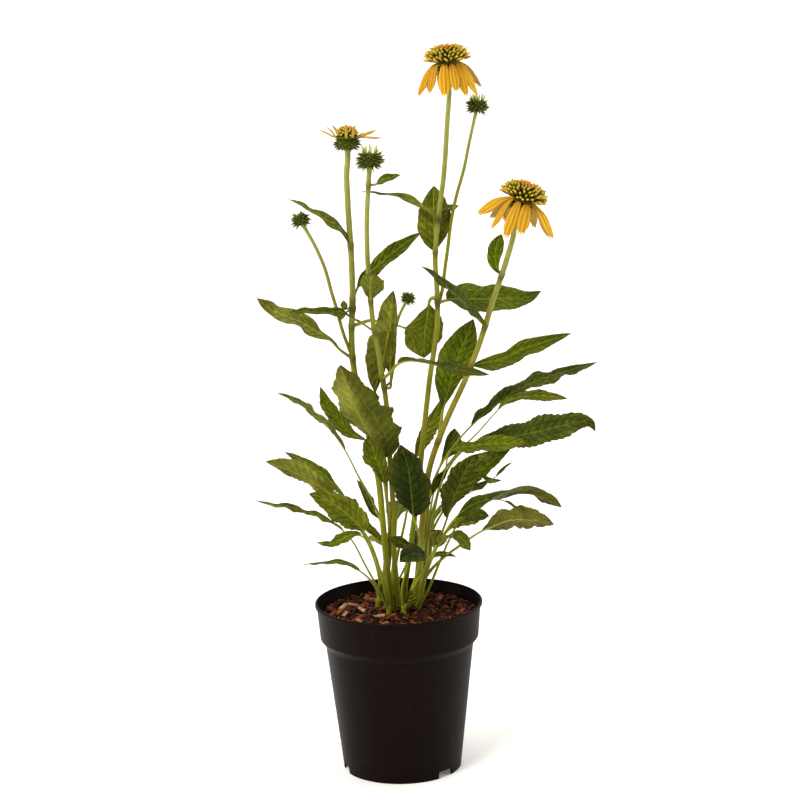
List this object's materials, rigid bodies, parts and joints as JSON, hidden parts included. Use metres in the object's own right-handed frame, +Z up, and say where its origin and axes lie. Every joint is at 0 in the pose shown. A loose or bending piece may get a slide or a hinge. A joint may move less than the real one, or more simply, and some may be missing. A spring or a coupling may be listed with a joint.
{
  "type": "potted coneflower plant",
  "caption": "Tall leafy perennial with yellow drooping-ray flowers and spiky cones, standing in bark in a round plastic nursery pot.",
  "frame": {"origin": "middle of the flat disc under the pot's floor, on the surface it stands on", "axes": "+Z up along the pot's axis, -Y towards the viewer of the picture, +X to that viewer's right"},
  "size_m": [0.3493, 0.2311, 0.7346],
  "materials": {
    "pot_plastic": "satin, slightly warm black",
    "bark": "rough, reddish brown bark chips",
    "foliage": "matt green leaves and stems with pale ribs",
    "basal_foliage": "matt to slightly glossy dark green leaves",
    "rays": "matt golden yellow",
    "cone": "matt amber florets with olive tips"
  },
  "bodies": {
    "root": {"pot": "pot_plastic", "soil": "bark", "stem_tall": "foliage", "stem_right": "foliage", "stem_left": "foliage", "stem_middle": "foliage", "rosette_left": "basal_foliage", "rosette_front_left": "basal_foliage", "rosette_front": "basal_foliage", "rosette_right": "basal_foliage", "rosette_back_right": "basal_foliage", "rosette_back": "basal_foliage", "rays_tall": "rays", "rays_right": "rays", "rays_left": "rays", "cone_tall": "cone", "cone_right": "cone", "cone_left": "cone"}
  },
  "joints": []
}
